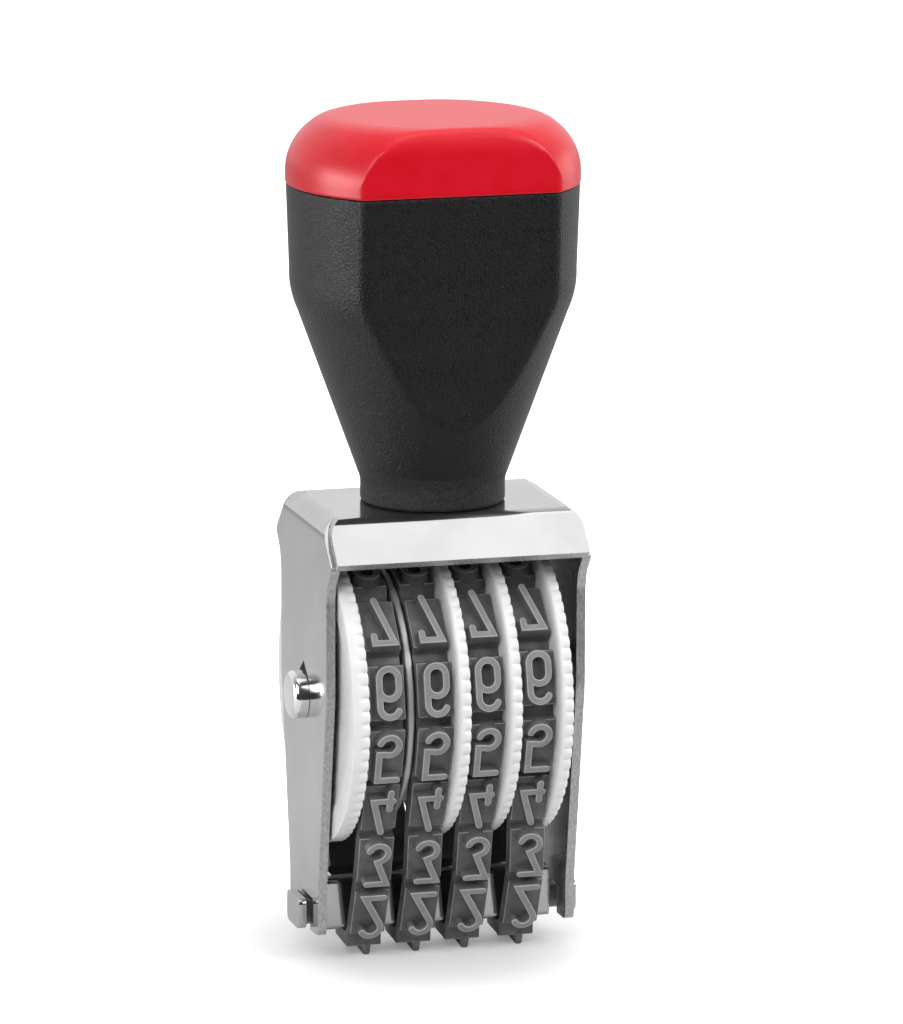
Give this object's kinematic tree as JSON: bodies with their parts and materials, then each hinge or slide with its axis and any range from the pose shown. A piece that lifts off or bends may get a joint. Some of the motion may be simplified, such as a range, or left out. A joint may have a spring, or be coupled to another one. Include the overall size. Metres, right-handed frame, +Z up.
{
  "type": "numbering machine",
  "caption": "Hand numbering stamp: rubber digit bands run over thumbwheels and a platen in a plated sheet frame, under a tapered plastic grip with a cap.",
  "frame": {"origin": "middle of the printing faces, on the paper", "axes": "+Z up through the middle of the handle, +X along the wheel axle to the right as seen from the front, front is -Y"},
  "size_m": [0.0392, 0.0392, 0.1114],
  "materials": {
    "plated_sheet": "bright plated",
    "plated_pin": "bright plated",
    "hidden_steel": "satin",
    "disc_metal": "satin",
    "wheel_plastic": "moulded, semi-matte",
    "band_rubber": "moulded rubber, satin",
    "handle_plastic": "fine pebble grain",
    "cap_plastic": "semi-gloss"
  },
  "bodies": {
    "stamp": {"frame": "plated_sheet", "platen_bar": "plated_sheet", "wheel_axle": "plated_pin", "number_band_1": "band_rubber", "number_band_2": "band_rubber", "number_band_3": "band_rubber", "number_band_4": "band_rubber", "divider_disc": "disc_metal", "thrust_washer": "hidden_steel", "spacer_bush": "wheel_plastic", "handle_body": "handle_plastic", "handle_cap": "cap_plastic", "handle_screw": "hidden_steel", "screw_washer": "hidden_steel"},
    "wheel_1": {"number_wheel_1": "wheel_plastic"},
    "wheel_2": {"number_wheel_2": "wheel_plastic"},
    "wheel_3": {"number_wheel_3": "wheel_plastic"},
    "wheel_4": {"number_wheel_4": "wheel_plastic"}
  },
  "joints": [
    {"name": "wheel_1_spin", "type": "hinge", "parent": "stamp", "child": "wheel_1", "pos_m": [0, 0, 0.035], "axis": [1, 0, 0], "continuous": true},
    {"name": "wheel_2_spin", "type": "hinge", "parent": "stamp", "child": "wheel_2", "pos_m": [0, 0, 0.035], "axis": [1, 0, 0], "continuous": true},
    {"name": "wheel_3_spin", "type": "hinge", "parent": "stamp", "child": "wheel_3", "pos_m": [0, 0, 0.035], "axis": [1, 0, 0], "continuous": true},
    {"name": "wheel_4_spin", "type": "hinge", "parent": "stamp", "child": "wheel_4", "pos_m": [0, 0, 0.035], "axis": [1, 0, 0], "continuous": true}
  ]
}
